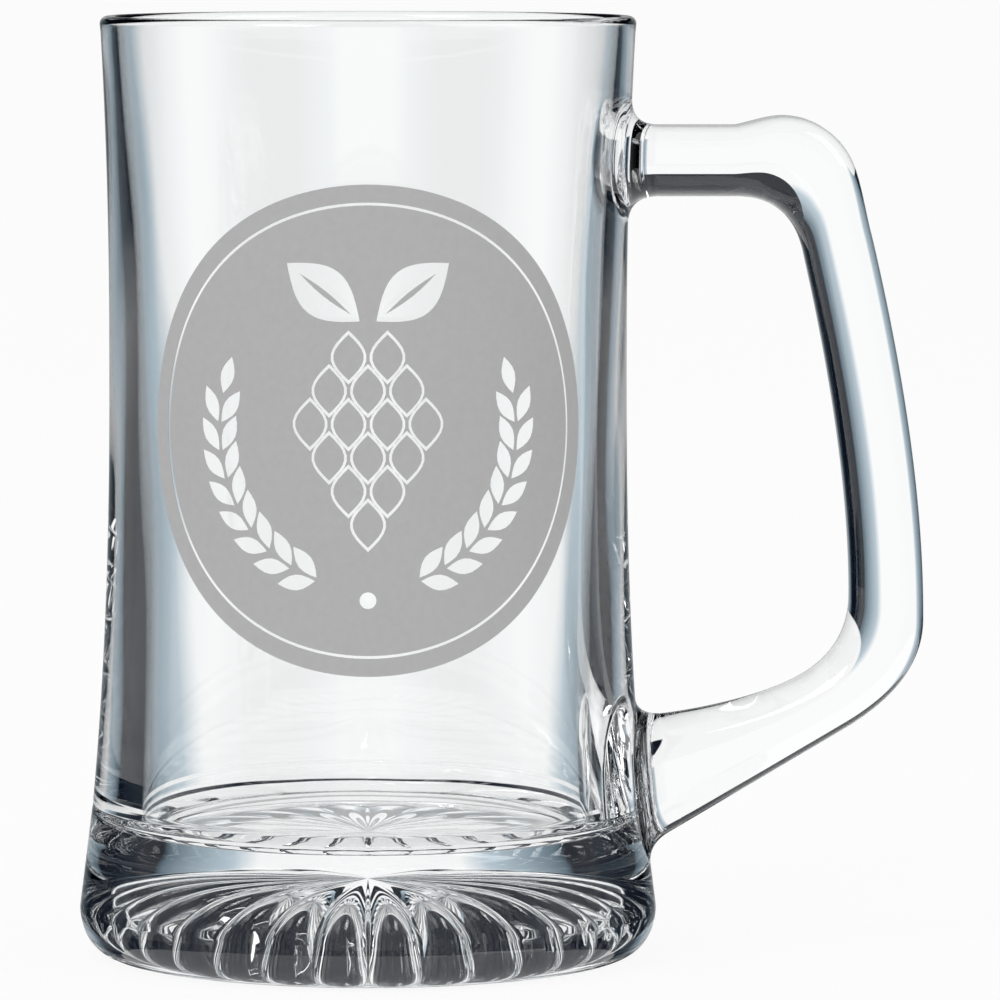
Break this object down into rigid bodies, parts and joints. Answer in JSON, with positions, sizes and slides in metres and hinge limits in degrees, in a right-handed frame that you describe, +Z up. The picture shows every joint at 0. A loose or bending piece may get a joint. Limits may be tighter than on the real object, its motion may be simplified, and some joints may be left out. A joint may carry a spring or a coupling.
{
  "type": "glass beer mug",
  "caption": "Heavy clear glass beer mug: waisted single-wall bowl, thick base with a sunburst pressed underneath, and a squared loop handle fused to the wall by flared pads.",
  "frame": {"origin": "on the table plane, under the middle of the whole outline, so the axis of the bowl is 19.9 mm towards -X", "axes": "+Z up along the bowl, +X towards the handle, +Y across the handle's plane, away from the picture's viewer"},
  "size_m": [0.126, 0.0864, 0.14],
  "materials": {
    "bowl_glass": "clear, fire-polished",
    "base_glass": "clear, pressed",
    "handle_glass": "clear, pressed and fire-polished"
  },
  "bodies": {
    "root": {"bowl": "bowl_glass", "sunburst_base": "base_glass", "upper_handle_pad": "handle_glass", "lower_handle_pad": "handle_glass", "handle": "handle_glass"}
  },
  "joints": []
}
